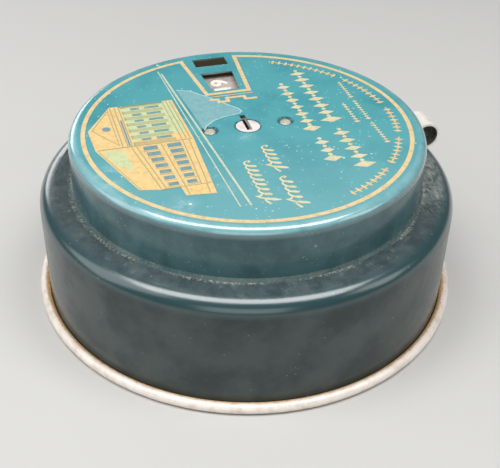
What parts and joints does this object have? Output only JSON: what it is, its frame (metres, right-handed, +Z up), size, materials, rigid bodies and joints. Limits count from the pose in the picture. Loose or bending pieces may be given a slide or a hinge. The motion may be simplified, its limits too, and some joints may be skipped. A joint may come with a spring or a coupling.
{
  "type": "money box",
  "caption": "Round two-tier tin money box with a lift-off locking lid, a keyhole, a counter dial behind a window, a curled lever and a hinged flap in its coin way.",
  "frame": {"origin": "centre of the flat rim it stands on", "axes": "+Z up through the lid, +X from the keyhole towards the two windows, lever tab towards -Y"},
  "size_m": [0.127, 0.127, 0.0508],
  "materials": {
    "dark_enamel": "gloss enamel, near-black green, worn at the seam",
    "teal_enamel": "gloss enamel with printed ornament",
    "dial_grey": "satin grey enamel with white numbers",
    "bare_tin": "bare tinplate, dull, rust spotted",
    "nickel": "bright nickel plate, slightly tarnished",
    "spring_steel": "plain strip steel"
  },
  "bodies": {
    "drum": {"lower_drum": "dark_enamel", "base_plate": "bare_tin", "strike_lugs": "bare_tin"},
    "lid": {"upper_drum": "teal_enamel", "lid_rivets": "nickel", "lock_case": "bare_tin", "lock_cover": "bare_tin", "spring_rivets": "nickel", "return_spring": "spring_steel", "click_spring": "spring_steel", "cam_spring": "spring_steel", "lever_washer": "bare_tin", "spacer_ring": "bare_tin", "dial_retainer": "spring_steel", "coin_chute": "bare_tin", "gate_pin": "nickel"},
    "lever": {"lever": "nickel", "pawl_pin": "nickel", "pawl_spacer": "bare_tin", "pawl_spring": "spring_steel"},
    "pawl": {"pawl": "spring_steel"},
    "dial": {"dial": "dial_grey", "dial_hub": "bare_tin", "dial_rivets": "nickel", "ratchet_wheel": "spring_steel"},
    "lock": {"lock_cam": "nickel", "lock_bar": "spring_steel", "bar_nut": "nickel"},
    "gate": {"coin_gate": "bare_tin"}
  },
  "joints": [
    {"name": "lid_lift", "type": "slide", "parent": "drum", "child": "lid", "axis": [0, 0, 1], "range_m": [0, 0.06]},
    {"name": "lever_swing", "type": "hinge", "parent": "lid", "child": "lever", "pos_m": [0, 0, 0.0377], "axis": [0, 0, 1], "range_deg": [0, 18], "stiffness_Nm_per_rad": 0.02, "deforming": ["return_spring"]},
    {"name": "dial_turn", "type": "hinge", "parent": "lid", "child": "dial", "pos_m": [0, 0, 0.0446], "axis": [0, 0, 1], "range_deg": [0, 18], "deforming": ["click_spring"]},
    {"name": "pawl_swing", "type": "hinge", "parent": "lever", "child": "pawl", "pos_m": [0, -0.029, 0.0415], "axis": [0, 0, -1], "range_deg": [0, 9], "stiffness_Nm_per_rad": 0.002, "deforming": ["pawl_spring"]},
    {"name": "lock_turn", "type": "hinge", "parent": "lid", "child": "lock", "pos_m": [0, 0, 0.036], "axis": [0, 0, 1], "range_deg": [0, 90], "deforming": ["cam_spring"]},
    {"name": "gate_swing", "type": "hinge", "parent": "lid", "child": "gate", "pos_m": [0.0434, 0, 0.0476], "axis": [0, 1, 0], "range_deg": [0, 70]}
  ],
  "couplings": [
    {"joint": "dial_turn", "follows": "lever_swing", "ratio": 1}
  ]
}
